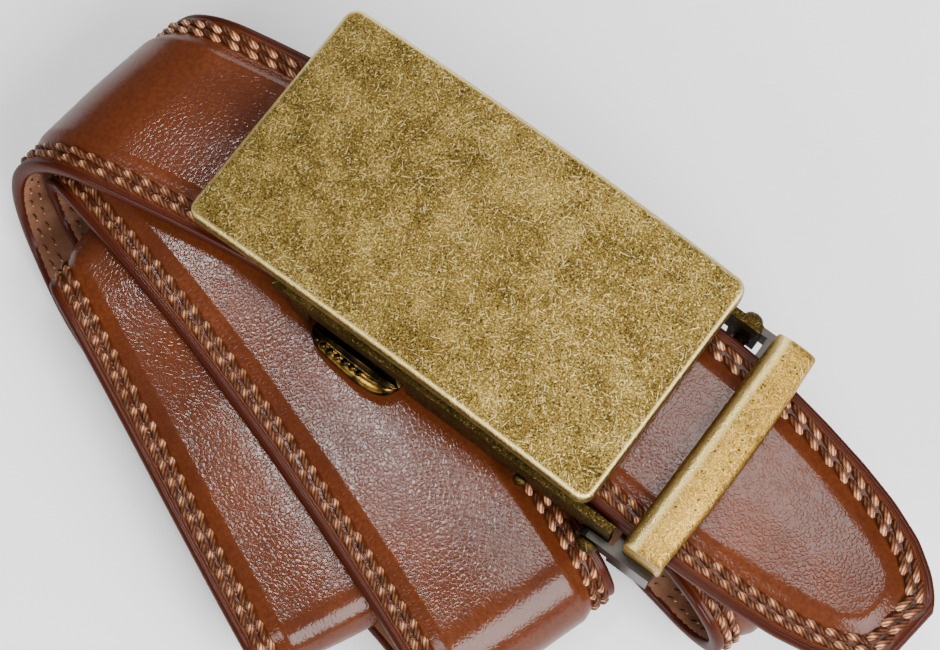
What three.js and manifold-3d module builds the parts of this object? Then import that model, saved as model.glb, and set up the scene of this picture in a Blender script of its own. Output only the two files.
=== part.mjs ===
// Ratchet belt, buckled and coiled flat in three fanned turns, millimetres, +Z up.
// X runs along the long side of the buckle plate towards the keeper, Y across the strap.
// While the pieces are made, X = 0 is the middle of the plate, Y = 0 the mid line of the buckle and
// Z = 0 the surface that the belt lies on. At the end all of it moves to the middle of its own box.
import * as THREE from "three";
import * as BufferGeometryUtils from "three/addons/utils/BufferGeometryUtils.js";
import Module from "manifold-3d";

const wasm = await Module();
wasm.setup();

// Driving sizes
const GAP = 0.3;
const STRAP_WIDTH = 34.4;
const LINING_THICK = 0.9;
const LEATHER_EDGE = 1.4;
const LEATHER_CENTRE = 2.6;
const TOP_LAYER = 28;
const TIP_X = 88.3;
const TIP_Y = -5.5;
const TAIL_HEADING = 172.8;
const PLATE_LENGTH = 76.4;
const PLATE_WIDTH = 42.4;
const PLATE_SHIFT = 1.8;
const PLATE_RISE = 3.0;
const PLATE_LIP = 3.6;
const PLATE_WALL = 1.7;
const PLATE_CORNER = 2.2;
const BUCKLE_INNER = 37.4;
const METAL = 1.4;
const BACK_EDGE = 0.98;
const TRACK_WIDTH = 8;
const TRACK_START = 14;
const TOOTH_PITCH = 4;
const TEETH = 24;
const KEEPER_X = 49.4;
const KEEPER_WIDTH = 7.2;
const PIN_RADIUS = 1.2;
const HINGE_X = 41.0;
const PIVOT_X = 27.0;

// Fits worked out from the driving sizes
const HALF = STRAP_WIDTH / 2;
const STRAP_THICK = LINING_THICK + GAP + LEATHER_CENTRE;
const LINING_LOW = -STRAP_THICK / 2;
const LINING_HIGH = LINING_LOW + LINING_THICK;
const LEATHER_LOW = LINING_HIGH + GAP;
const TRACK_HIGH = LINING_LOW - GAP;
const TRACK_BASE = TRACK_HIGH - 0.7;
const TRACK_LOW = TRACK_HIGH - 1.2;
const FLOOR_TOP = TOP_LAYER + TRACK_LOW - GAP;
const FLOOR_LOW = FLOOR_TOP - METAL;
const TAIL_TOP = TOP_LAYER + STRAP_THICK / 2;
const PLATE_LOW = TAIL_TOP + GAP + 0.1;
const PLATE_EDGE = PLATE_LOW + PLATE_LIP;
const SIDE_IN = BUCKLE_INNER / 2;
const SIDE_OUT = SIDE_IN + METAL;
const EAR_IN = SIDE_OUT + GAP;
const EAR_THICK = 1.2;
const EAR_ROUND = 2.4;
const EAR_OUT = EAR_IN + EAR_THICK;
const FRAME_X0 = -17.5;
const HINGE_Z = FLOOR_LOW - 0.9;
const PIVOT_Z = (FLOOR_LOW + FLOOR_TOP) / 2;
const PIVOT_RADIUS = 0.8;
const JAW_X0 = 44.5;
const JAW_X1 = 52;
const CLAMP_TOP = 20.7 + STRAP_THICK / 2;
const JAW_LOW = 20.7 - STRAP_THICK / 2 - GAP - METAL;
const TAB_X0 = -13.2;
const TAB_X1 = 3.6;
const TAB_Y0 = SIDE_OUT + GAP;
// Keeper bar by sections along its length: share of its half-length, height of its crown
const KEEPER_BAR = [
  { along: -1, high: 1.6 },
  { along: -0.93, high: 2.5 },
  { along: -0.5, high: 2.9 },
  { along: 0, high: 3.1 },
  { along: 0.5, high: 2.9 },
  { along: 0.93, high: 2.5 },
  { along: 1, high: 1.6 },
];
// Finger tab by sections along the buckle: share of its length, how far it stands out, its height
const TAB = [
  { along: 0, out: 0.7, high: 2.4 },
  { along: 0.1, out: 2.0, high: 3.0 },
  { along: 0.3, out: 3.0, high: 3.2 },
  { along: 0.55, out: 3.2, high: 3.2 },
  { along: 0.8, out: 2.8, high: 3.1 },
  { along: 0.93, out: 1.9, high: 2.9 },
  { along: 1, out: 0.8, high: 2.4 },
];

// Half-turns of the strap, in order from the tip: where the centre line enters the turn, its heading
// in and out in degrees, and the heights of the layers that the turn joins.
const TURNS = [
  { x: -52.4, y: -6.2, enter: 191, leave: -27, zIn: TOP_LAYER, zOut: 2.0 },
  { x: 34.2, y: -37.0, enter: -18, leave: 159, zIn: 2.0, zOut: 18.6 },
  { x: -51.5, y: -11.0, enter: 169, leave: -24, zIn: 21.4, zOut: 6.4 },
  { x: 15.0, y: -50.0, enter: -27, leave: 157, zIn: 6.4, zOut: 14.4 },
  { x: -49.0, y: -22.4, enter: 157, leave: 18, zIn: 16.9, zOut: 10.6 },
  { x: 61.0, y: -3.9, enter: -11, leave: 163, zIn: 2.1, zOut: 20.7 },
];
// Height of each stretch between two turns: it changes from one share of its length to the other.
const STRETCHES = [
  { name: "tail", from: 0.1, to: 0.9 },
  { name: "bottom 1", from: 0.1, to: 0.9 },
  { name: "top 2", from: 0.4, to: 0.99 },
  { name: "bottom 2", from: 0.1, to: 0.9 },
  { name: "top 3", from: 0.5, to: 0.99 },
  { name: "bottom 3", from: 0.74, to: 0.97 },
  { name: "clamped end", from: 0.1, to: 0.9 },
];
const CLAMPED_END = { x: 45.5, y: 1.0, heading: 170 };
// Half-width of the tip as a share of the strap's half-width, by distance from the end.
const TIP = [
  { at: 0, share: 0.33 },
  { at: 1.6, share: 0.43 },
  { at: 4, share: 0.55 },
  { at: 8.7, share: 0.7 },
  { at: 15, share: 0.81 },
  { at: 22, share: 0.885 },
  { at: 30, share: 0.945 },
  { at: 40, share: 1 },
];
// Leather face across the strap: share of the half-width, height above the leather's back.
const FACE = [
  { across: 1, high: 0.75 * LEATHER_EDGE },
  { across: 0.965, high: LEATHER_EDGE },
  { across: 0.8, high: LEATHER_EDGE + 0.1 },
  { across: 0.73, high: 0.8 * LEATHER_CENTRE },
  { across: 0.3, high: LEATHER_CENTRE },
];

const rad = (deg) => (deg * Math.PI) / 180;
const plan = (deg) => new THREE.Vector3(Math.cos(rad(deg)), Math.sin(rad(deg)), 0);
const ease = (t) => {
  const c = Math.min(1, Math.max(0, t));
  return c * c * (3 - 2 * c);
};

// The strap's path: a list of zones, each with its start and length along the centre line
function strapPath() {
  const zones = [];
  let at = 0;
  let here = new THREE.Vector3(TIP_X, TIP_Y, 0);
  let heading = TAIL_HEADING;
  let up = 1;
  const turns = TURNS.map((t) => ({ ...t }));
  turns.push({ ...CLAMPED_END, enter: CLAMPED_END.heading, last: true });
  turns.forEach((turn, i) => {
    const target = new THREE.Vector3(turn.x, turn.y, 0);
    let alpha = 0;
    let lead = 0;
    if (!turn.last) {
      const change = ((((turn.leave - 180 - turn.enter) % 360) + 540) % 360) - 180;
      alpha = rad((up > 0 ? -1 : 1) * change) / 2;
      lead = HALF * Math.tan(Math.abs(alpha)) + 0.5;
    }
    const z0 = i === 0 ? TOP_LAYER : turns[i - 1].zOut;
    const z1 = turn.last ? turns[i - 1].zOut : turn.zIn;
    // stretch: a cubic in plan from here to the lead-in of the turn
    const end = target.clone().addScaledVector(plan(turn.enter), -lead);
    const reach = here.distanceTo(end);
    const curve = new THREE.CubicBezierCurve3(
      here.clone(),
      here.clone().addScaledVector(plan(heading), reach / 3),
      end.clone().addScaledVector(plan(turn.enter), -reach / 3),
      end,
    );
    curve.arcLengthDivisions = 400;
    const length = curve.getLength();
    zones.push({ kind: "flat", at, length, curve, up, z0, z1, shape: STRETCHES[i] });
    at += length;
    if (turn.last) return;
    const radius = Math.abs(turn.zIn - turn.zOut) / 2;
    const arc = (Math.PI * radius) / Math.cos(alpha);
    const d = plan(turn.enter);
    const w = new THREE.Vector3().crossVectors(d, new THREE.Vector3(0, 0, up));
    const p = d.clone().multiplyScalar(Math.cos(alpha)).addScaledVector(w, Math.sin(alpha));
    const a = d.clone().multiplyScalar(-Math.sin(alpha)).addScaledVector(w, Math.cos(alpha));
    const tail = lead;
    zones.push({
      kind: "turn", at, length: lead + arc + tail, lead, radius, alpha, up, target, p, a,
      z0: turn.zIn,
    });
    at += lead + arc + tail;
    const out = p.clone().multiplyScalar(-Math.cos(alpha)).addScaledVector(a, -Math.sin(alpha));
    here = target.clone().addScaledVector(a, -Math.PI * radius * Math.tan(alpha));
    here.addScaledVector(out, tail);
    heading = (Math.atan2(out.y, out.x) * 180) / Math.PI;
    up = -up;
  });
  return { zones, length: at };
}
const PATH = strapPath();

// A point of the strap: s along it from the tip, w across it, t off its middle layer towards the face
function strapPoint(s, w, t) {
  let zone = PATH.zones[PATH.zones.length - 1];
  for (const z of PATH.zones) {
    if (s < z.at + z.length) {
      zone = z;
      break;
    }
  }
  const local = s - zone.at;
  if (zone.kind === "flat") {
    const u = Math.min(1, Math.max(0, local / zone.length));
    const c = zone.curve.getPointAt(u);
    const d = zone.curve.getTangentAt(u);
    const side = new THREE.Vector3(d.y, -d.x, 0).multiplyScalar(zone.up);
    const share = ease((u - zone.shape.from) / (zone.shape.to - zone.shape.from));
    const z = zone.z0 + (zone.z1 - zone.z0) * share;
    return c.clone().addScaledVector(side, w).setZ(z + zone.up * t);
  }
  const along = local - zone.lead;
  const cos = Math.cos(zone.alpha);
  const sin = Math.sin(zone.alpha);
  const q = along * cos + w * sin;
  const b = -along * sin + w * cos;
  const r = zone.radius;
  const half = Math.PI * r;
  const at = new THREE.Vector3().copy(zone.target).addScaledVector(zone.a, b).setZ(zone.z0);
  if (q <= 0) {
    return at.addScaledVector(zone.p, q).add(new THREE.Vector3(0, 0, zone.up * t));
  }
  if (q >= half) {
    const back = new THREE.Vector3(0, 0, -zone.up * (2 * r + t));
    return at.addScaledVector(zone.p, half - q).add(back);
  }
  const phi = q / r;
  at.addScaledVector(zone.p, (r + t) * Math.sin(phi));
  return at.setZ(zone.z0 + zone.up * ((r + t) * Math.cos(phi) - r));
}

// Places along the strap where a cross-section is made
function stations(from, to) {
  const list = new Set();
  const add = (s) => {
    if (s > from + 0.4 && s < to - 0.4) list.add(Math.round(s * 100) / 100);
  };
  TIP.forEach((row) => add(row.at));
  for (const zone of PATH.zones) {
    const step = zone.kind === "flat" ? 12.5 : Math.min(4, Math.max(1.5, 0.4 * zone.radius));
    const n = Math.max(1, Math.round(zone.length / step));
    for (let i = 0; i < n; i += 1) add(zone.at + (zone.length * i) / n);
  }
  const sorted = [...list].sort((m, n) => m - n);
  const kept = sorted.filter((s, i) => i === 0 || s - sorted[i - 1] > 0.6);
  return [from, ...kept, to];
}

const tipShare = (s) => {
  for (let i = 1; i < TIP.length; i += 1) {
    if (s <= TIP[i].at) {
      const k = (s - TIP[i - 1].at) / (TIP[i].at - TIP[i - 1].at);
      return TIP[i - 1].share + k * (TIP[i].share - TIP[i - 1].share);
    }
  }
  return 1;
};

// Closed skin over rings with the same number of points, with flat ends
function loft(rings) {
  const n = rings[0].length;
  const points = rings.flat();
  const index = [];
  for (let i = 0; i + 1 < rings.length; i += 1) {
    for (let j = 0; j < n; j += 1) {
      const a = i * n + j;
      const b = i * n + ((j + 1) % n);
      index.push(a, b, b + n, a, b + n, a + n);
    }
  }
  const cap = (ring, start, flip) => {
    const flat = projected(ring);
    for (const [a, b, c] of THREE.ShapeUtils.triangulateShape(flat.points, [])) {
      const turned = flat.reversed !== flip;
      index.push(start + a, start + (turned ? b : c), start + (turned ? c : b));
    }
  };
  cap(rings[0], 0, false);
  cap(rings[rings.length - 1], (rings.length - 1) * n, true);
  const geometry = new THREE.BufferGeometry();
  const xyz = points.flatMap((p) => [p.x, p.y, p.z]);
  geometry.setAttribute("position", new THREE.Float32BufferAttribute(xyz, 3));
  geometry.setIndex(index);
  return outward(geometry);
}

// The ring seen along its own normal, for filling it with triangles
function projected(ring) {
  const normal = new THREE.Vector3();
  ring.forEach((p, i) => {
    const q = ring[(i + 1) % ring.length];
    normal.add(new THREE.Vector3().crossVectors(p, q));
  });
  normal.normalize();
  const side = new THREE.Vector3().subVectors(ring[1], ring[0]).normalize();
  const other = new THREE.Vector3().crossVectors(normal, side);
  const points = ring.map((p) => new THREE.Vector2(p.dot(side), p.dot(other)));
  return { points, reversed: THREE.ShapeUtils.isClockWise(points) };
}

// Turns every face so that the solid's volume counts as positive
function outward(geometry) {
  const p = geometry.attributes.position;
  const index = geometry.index.array;
  const [a, b, c] = [new THREE.Vector3(), new THREE.Vector3(), new THREE.Vector3()];
  let volume = 0;
  for (let i = 0; i < index.length; i += 3) {
    a.fromBufferAttribute(p, index[i]);
    b.fromBufferAttribute(p, index[i + 1]);
    c.fromBufferAttribute(p, index[i + 2]);
    volume += a.dot(b.cross(c));
  }
  if (volume < 0) {
    for (let i = 0; i < index.length; i += 3) {
      [index[i + 1], index[i + 2]] = [index[i + 2], index[i + 1]];
    }
  }
  return geometry;
}

// Solids for joining and cutting
function solid(geometry) {
  const g = geometry.clone();
  g.deleteAttribute("normal");
  g.deleteAttribute("uv");
  const merged = BufferGeometryUtils.mergeVertices(g, 1e-4);
  const mesh = new wasm.Mesh({
    numProp: 3,
    vertProperties: Float32Array.from(merged.attributes.position.array),
    triVerts: Uint32Array.from(merged.index.array),
  });
  return new wasm.Manifold(mesh);
}
function shell(manifold) {
  const mesh = manifold.getMesh();
  const geometry = new THREE.BufferGeometry();
  geometry.setAttribute("position", new THREE.Float32BufferAttribute(mesh.vertProperties, 3));
  geometry.setIndex([...mesh.triVerts]);
  return geometry;
}
const box = (x0, x1, y0, y1, z0, z1) => {
  const g = new THREE.BoxGeometry(x1 - x0, y1 - y0, z1 - z0);
  g.translate((x0 + x1) / 2, (y0 + y1) / 2, (z0 + z1) / 2);
  return solid(g);
};
const rod = (x, z, y0, y1, r, sides = 20) => {
  const g = new THREE.CylinderGeometry(r, r, y1 - y0, sides);
  g.translate(x, (y0 + y1) / 2, z);
  return solid(g);
};

// Strap leather: crowned face, stitching gutter near each edge
function leather() {
  const end = PATH.length;
  const rings = stations(0, end).map((s) => {
    const half = HALF * tipShare(s);
    const ring = [];
    FACE.forEach((f) => ring.push(strapPoint(s, half * f.across, LEATHER_LOW + f.high)));
    ring.push(strapPoint(s, 0, LEATHER_LOW + LEATHER_CENTRE));
    [...FACE].reverse().forEach((f) => {
      ring.push(strapPoint(s, -half * f.across, LEATHER_LOW + f.high));
    });
    const back = [-1, -BACK_EDGE, -0.4, 0, 0.4, BACK_EDGE, 1];
    back.forEach((f) => ring.push(strapPoint(s, half * f, LEATHER_LOW)));
    return ring;
  });
  return loft(rings);
}

// Lining: thin leather over the whole back, a little inside the painted edge
function lining() {
  const rings = stations(0, PATH.length).map((s) => {
    const half = HALF * tipShare(s);
    const shares = [-BACK_EDGE, -0.4, 0, 0.4, BACK_EDGE];
    const ring = shares.map((f) => strapPoint(s, half * f, LINING_HIGH));
    [...shares].reverse().forEach((f) => ring.push(strapPoint(s, half * f, LINING_LOW)));
    return ring;
  });
  return loft(rings);
}

// Toothed track sewn to the back of the tail
function track() {
  const half = TRACK_WIDTH / 2;
  const rings = [];
  const row = (s, low) => {
    const top = [half, -half].map((w) => strapPoint(s, w, TRACK_HIGH));
    const under = [-half, half].map((w) => strapPoint(s, w, low));
    rings.push([...top, ...under]);
  };
  row(TRACK_START, TRACK_BASE);
  for (let i = 0; i < TEETH; i += 1) {
    const s = TRACK_START + 1 + i * TOOTH_PITCH;
    row(s, TRACK_BASE);
    row(s + 0.4 * TOOTH_PITCH, TRACK_BASE);
    row(s + 0.5 * TOOTH_PITCH, TRACK_LOW);
    row(s + 0.9 * TOOTH_PITCH, TRACK_LOW);
  }
  row(TRACK_START + 2 + TEETH * TOOTH_PITCH, TRACK_BASE);
  return loft(rings);
}

// Face plate: arched along its length, rounded corners, hollow underneath
function plate() {
  const length = PLATE_LENGTH / 2;
  const arch = (x) => PLATE_RISE * (1 - (x / length) ** 2);
  const body = (inset, low, high, soft) => {
    const half = length - inset;
    const xs = [];
    const corner = Math.max(0.6, PLATE_CORNER - inset);
    [0, 0.15, 0.5, 1].forEach((k) => xs.push(-half + corner * k));
    for (let i = 1; i < 12; i += 1) xs.push(-half + corner + ((2 * half - 2 * corner) * i) / 12);
    [1, 0.5, 0.15, 0].forEach((k) => xs.push(half - corner * k));
    const rings = xs.map((x) => {
      const into = Math.max(0, Math.abs(x) - (half - corner));
      const pull = corner - Math.sqrt(Math.max(0, corner ** 2 - into ** 2));
      const w = PLATE_WIDTH / 2 - inset - 0.94 * pull;
      const bevel = soft * (into >= corner ? 1 : 0);
      const z = arch(x);
      return [
        [-w, low], [-w, high - soft], [-w + soft, high - bevel], [0, high - bevel],
        [w - soft, high - bevel], [w, high - soft], [w, low], [0, low],
      ].map(([y, h]) => new THREE.Vector3(x, y + PLATE_SHIFT, z + h));
    });
    return solid(loft(rings));
  };
  const outer = body(0, PLATE_LOW, PLATE_EDGE, 0.8);
  const inner = body(PLATE_WALL, PLATE_LOW - 2, PLATE_EDGE - PLATE_WALL, 0.2);
  return shell(outer.subtract(inner));
}

// Buckle frame: floor with an opening for the pawl, two side walls drilled for the two pins
function frame() {
  const x1 = HINGE_X + 2.4;
  const wallTop = PLATE_LOW - GAP;
  const slot = box(TAB_X0 - 1, PIVOT_X + 3.5, -7.5, 7.5, FLOOR_LOW - 1, FLOOR_TOP + 1);
  const notch = box(TAB_X0 - 1, TAB_X1 + 1, -SIDE_OUT - 1, 0, FLOOR_LOW - 1, FLOOR_TOP + 3.4);
  let body = box(FRAME_X0, 35.5, -SIDE_OUT, SIDE_OUT, FLOOR_LOW, FLOOR_TOP);
  for (const y of [-SIDE_OUT, SIDE_IN]) {
    body = body.add(box(FRAME_X0, x1, y, y + METAL, FLOOR_LOW, wallTop));
    body = body.add(box(-21, 21, y, y + METAL, wallTop - 0.5, wallTop + 1.9));
    body = body.add(box(HINGE_X - 2.6, x1, y, y + METAL, HINGE_Z - 2.2, FLOOR_TOP));
  }
  const hole = rod(HINGE_X, HINGE_Z, -30, 30, PIN_RADIUS + GAP);
  const pivotHole = rod(PIVOT_X, PIVOT_Z, -30, 30, PIVOT_RADIUS + GAP);
  return shell(body.subtract(slot).subtract(notch).subtract(hole).subtract(pivotHole));
}

// Clamp jaw: box that grips the fixed end of the strap, with two ears on the hinge pin
function jaw() {
  const roof = CLAMP_TOP + GAP;
  let body = box(JAW_X0, JAW_X1, -EAR_OUT, EAR_OUT, JAW_LOW, roof + METAL);
  body = body.subtract(box(JAW_X0 - 1, JAW_X1 + 1, -SIDE_IN, SIDE_IN, JAW_LOW + METAL, roof));
  for (const y of [-EAR_OUT, EAR_IN]) {
    const ear = box(HINGE_X, JAW_X0 + 1, y, y + EAR_THICK, HINGE_Z - EAR_ROUND, HINGE_Z + EAR_ROUND);
    body = body.add(ear).add(rod(HINGE_X, HINGE_Z, y, y + EAR_THICK, EAR_ROUND));
  }
  return shell(body.subtract(rod(HINGE_X, HINGE_Z, -30, 30, PIN_RADIUS + GAP)));
}

// Keeper: crowned bar over the tail on two arms that stand on the clamp jaw
function keeper() {
  const foot = CLAMP_TOP + METAL + 2 * GAP;
  const under = TAIL_TOP + GAP;
  const rings = KEEPER_BAR.map((row) => {
    const half = (SIDE_OUT + 0.2) * row.along;
    const shape = [
      [-1, 0], [-1, 0.42], [-0.55, 0.86], [0, 1], [0.55, 0.92], [0.92, 0.66], [1, 0.4], [1, 0],
    ];
    return shape.map(([u, v]) => new THREE.Vector3(
      KEEPER_X + (u * KEEPER_WIDTH) / 2, half, under + v * row.high,
    ));
  });
  let body = solid(loft(rings));
  for (const y of [-SIDE_OUT - 0.2, SIDE_IN]) {
    const x0 = KEEPER_X - KEEPER_WIDTH / 2;
    body = body.add(box(x0, x0 + KEEPER_WIDTH, y, y + METAL + 0.2, foot, under + 0.9));
  }
  return shell(body);
}

// Pins: one rod each with two domed heads
function pin(x, z, reach, r) {
  const profile = [
    [0, -reach - 1.1], [0.9 * r, -reach - 0.9], [1.5 * r, -reach - 0.3], [1.5 * r, -reach],
    [r, -reach], [r, reach], [1.5 * r, reach], [1.5 * r, reach + 0.3],
    [0.9 * r, reach + 0.9], [0, reach + 1.1],
  ].map(([a, b]) => new THREE.Vector2(a, b));
  const g = new THREE.LatheGeometry(profile, 14);
  g.translate(x, 0, z);
  return shell(solid(g));
}

// Release lever: pawl plate in the floor opening, tooth, two sleeves on its pin and the finger tab
function lever() {
  const low = FLOOR_LOW + 0.1;
  const high = FLOOR_TOP - 0.1;
  const valley = strapPoint(TRACK_START + 1 + 20.2 * TOOTH_PITCH, 0, 0).x;
  let body = box(TAB_X0, PIVOT_X - 2.4, -6.8, 6.8, low, high);
  for (const y of [-6.8, 4.8]) {
    body = body.add(box(PIVOT_X - 3, PIVOT_X, y, y + 2, low, high));
    body = body.add(rod(PIVOT_X, PIVOT_Z, y, y + 2, 1.6, 24));
  }
  body = body.add(box(TAB_X0, TAB_X1, -TAB_Y0 - 0.6, -6, low, high));
  const tab = solid(loft(TAB.map((row) => {
    const x = TAB_X0 + row.along * (TAB_X1 - TAB_X0);
    return [
      [-TAB_Y0, low], [-TAB_Y0 - row.out, low + 1.2], [-TAB_Y0 - row.out, low + 2.3],
      [-TAB_Y0 - 0.5 * row.out, low + row.high], [-TAB_Y0, low + row.high],
    ].map(([y, z]) => new THREE.Vector3(x, y, z));
  })));
  const tooth = box(valley - 0.45, valley + 0.45, -3.4, 3.4, high - 0.3, TOP_LAYER + TRACK_LOW + 0.2);
  body = body.add(tab).add(tooth);
  return shell(body.subtract(rod(PIVOT_X, PIVOT_Z, -20, 20, PIVOT_RADIUS + GAP)));
}

const pieces = [];
function piece(name, geometry, colour, metalness, roughness) {
  const material = new THREE.MeshStandardMaterial({ color: colour, metalness, roughness });
  material.name = name;
  const mesh = new THREE.Mesh(geometry, material);
  mesh.name = name;
  pieces.push(mesh);
}

piece("strap_leather", leather(), 0x7a3c1e, 0, 0.45);
piece("strap_lining", lining(), 0xa07c64, 0, 0.8);
piece("ratchet_track", track(), 0x1c1c1e, 0, 0.5);
piece("face_plate", plate(), 0x8c7640, 1, 0.4);
piece("buckle_frame", frame(), 0x6f5c30, 1, 0.45);
piece("clamp_jaw", jaw(), 0x8f8c88, 1, 0.4);
piece("keeper", keeper(), 0xa88f55, 1, 0.4);
piece("hinge_pin", pin(HINGE_X, HINGE_Z, EAR_OUT + 0.2, PIN_RADIUS), 0x6f5c30, 1, 0.35);
piece("lever_pin", pin(PIVOT_X, PIVOT_Z, SIDE_OUT + 0.2, PIVOT_RADIUS), 0x6f5c30, 1, 0.35);
piece("release_lever", lever(), 0x2b251c, 1, 0.4);

const group = new THREE.Group();
group.name = "ratchet_belt";
const bounds = new THREE.Box3();
pieces.forEach((mesh) => {
  mesh.geometry.computeBoundingBox();
  bounds.union(mesh.geometry.boundingBox);
});
const centre = bounds.getCenter(new THREE.Vector3());
pieces.forEach((mesh) => {
  mesh.geometry.translate(-centre.x, -centre.y, -bounds.min.z);
  group.add(mesh);
});
console.log("strap length", PATH.length.toFixed(1), "box middle", centre.x.toFixed(2), centre.y.toFixed(2));

export default group;
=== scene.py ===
"""Ratchet belt, buckled and coiled flat in three fanned turns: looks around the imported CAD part."""
import math

import bpy
import numpy as np
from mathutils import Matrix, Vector


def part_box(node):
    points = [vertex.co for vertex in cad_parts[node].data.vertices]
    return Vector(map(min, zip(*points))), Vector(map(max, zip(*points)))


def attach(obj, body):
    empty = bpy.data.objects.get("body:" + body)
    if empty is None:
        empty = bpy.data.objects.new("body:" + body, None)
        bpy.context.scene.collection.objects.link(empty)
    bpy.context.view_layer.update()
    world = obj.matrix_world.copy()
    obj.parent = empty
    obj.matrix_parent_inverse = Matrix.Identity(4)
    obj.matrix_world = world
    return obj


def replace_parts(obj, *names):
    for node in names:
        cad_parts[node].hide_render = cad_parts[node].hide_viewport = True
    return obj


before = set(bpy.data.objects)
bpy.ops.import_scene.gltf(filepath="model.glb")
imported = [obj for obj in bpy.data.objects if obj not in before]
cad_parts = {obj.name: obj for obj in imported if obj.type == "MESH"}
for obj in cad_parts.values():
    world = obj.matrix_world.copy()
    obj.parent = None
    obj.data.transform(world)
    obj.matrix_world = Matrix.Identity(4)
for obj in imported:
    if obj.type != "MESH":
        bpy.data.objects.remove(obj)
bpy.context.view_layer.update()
MM = 0.001


# The strap's path
# A ratchet belt is one long strip of cowhide. It leaves the buckle as the tail, goes round the
# body and comes back into the clamp. Here it lies in a flat coil whose passes fan out.
STRAP_HALF = 17.2
TOP_LAYER = 28.0
TAIL_START = (88.3, -5.5)
TAIL_HEADING = 172.8
# where a bend starts, heading in and out in degrees, heights of the two passes that it joins
BENDS = [
    (-52.4, -6.2, 191, -27, TOP_LAYER, 2.0),
    (34.2, -37.0, -18, 159, 2.0, 18.6),
    (-51.5, -11.0, 169, -24, 21.4, 6.4),
    (15.0, -50.0, -27, 157, 6.4, 14.4),
    (-49.0, -22.4, 157, 18, 16.9, 10.6),
    (61.0, -3.9, -11, 163, 2.1, 20.7),
]
CLAMPED_END = (45.5, 1.0, 170)
# shares of each pass between which its height changes, and the step between its sections in mm
PASSES = [
    (0.1, 0.9, 0.7),
    (0.1, 0.9, 2.4),
    (0.4, 0.99, 0.8),
    (0.1, 0.9, 2.4),
    (0.5, 0.99, 0.8),
    (0.74, 0.97, 1.6),
    (0.1, 0.9, 1.6),
]
# the tip's outline: distance from the end in mm, half-width as a share of the strap's
TIP = [
    (0, 0.3), (0.5, 0.36), (1.6, 0.43), (4, 0.55), (8.7, 0.7), (15, 0.81), (22, 0.885),
    (30, 0.945), (40, 1), (60, 1),
]
# from the working place of the path to the middle of the CAD box's underside
low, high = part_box("lever_pin")
TO_FRAME = np.array([(low.x + high.x) / 2 / MM - 27.0, (low.y + high.y) / 2 / MM, -0.1])


def unit(degrees):
    """Direction in plan with that heading."""
    return np.array([math.cos(math.radians(degrees)), math.sin(math.radians(degrees)), 0.0])


def strap_zones():
    """The path as zones, and its length: flat passes, each a cubic Bezier curve in plan, and half-turns
    round a cylinder, whose axis leans by alpha so that the next pass leaves in its own heading."""
    zones, at, up = [], 0.0, 1
    here, heading = np.array([*TAIL_START, 0.0]), TAIL_HEADING
    steps = [*BENDS, (*CLAMPED_END, None, TOP_LAYER, 0.0)]
    for i, (x, y, enter, leave, z_in, z_out) in enumerate(steps):
        target, alpha, lead = np.array([x, y, 0.0]), 0.0, 0.0
        if leave is not None:
            change = (leave - 180 - enter + 540) % 360 - 180
            alpha = math.radians(-up * change) / 2
            lead = STRAP_HALF * math.tan(abs(alpha)) + 0.5
        z0 = TOP_LAYER if i == 0 else steps[i - 1][5]
        z1 = z0 if leave is None else z_in
        end = target - unit(enter) * lead
        reach = np.linalg.norm(end - here)
        u = np.linspace(0, 1, 1601)[:, None]
        a, b = here + unit(heading) * reach / 3, end - unit(enter) * reach / 3
        line = ((1 - u) ** 3 * here + 3 * (1 - u) ** 2 * u * a + 3 * (1 - u) * u ** 2 * b
                + u ** 3 * end)
        run = np.concatenate([[0], np.cumsum(np.linalg.norm(np.diff(line, axis=0), axis=1))])
        start, stop, step = PASSES[i]
        zones.append({"flat": True, "at": at, "length": run[-1], "line": line, "run": run, "up": up,
                      "z0": z0, "z1": z1, "start": start, "stop": stop, "step": step})
        at += run[-1]
        if leave is None:
            break
        radius = abs(z_in - z_out) / 2
        arc = math.pi * radius / math.cos(alpha)
        d = unit(enter)
        w = np.cross(d, [0, 0, up])
        across_axis = d * math.cos(alpha) + w * math.sin(alpha)
        axis = -d * math.sin(alpha) + w * math.cos(alpha)
        zones.append({"flat": False, "at": at, "length": 2 * lead + arc, "lead": lead, "radius": radius,
                      "alpha": alpha, "up": up, "z0": z_in, "target": target, "p": across_axis,
                      "a": axis, "step": 1.0})
        at += 2 * lead + arc
        out = -across_axis * math.cos(alpha) - axis * math.sin(alpha)
        here = target - axis * math.pi * radius * math.tan(alpha) + out * lead
        heading = math.degrees(math.atan2(out[1], out[0]))
        up = -up
    return zones, at


ZONES, STRAP_LENGTH = strap_zones()


def ease(t):
    """Smooth step: 3t^2 - 2t^3 between 0 and 1."""
    t = np.clip(t, 0, 1)
    return t * t * (3 - 2 * t)


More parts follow.
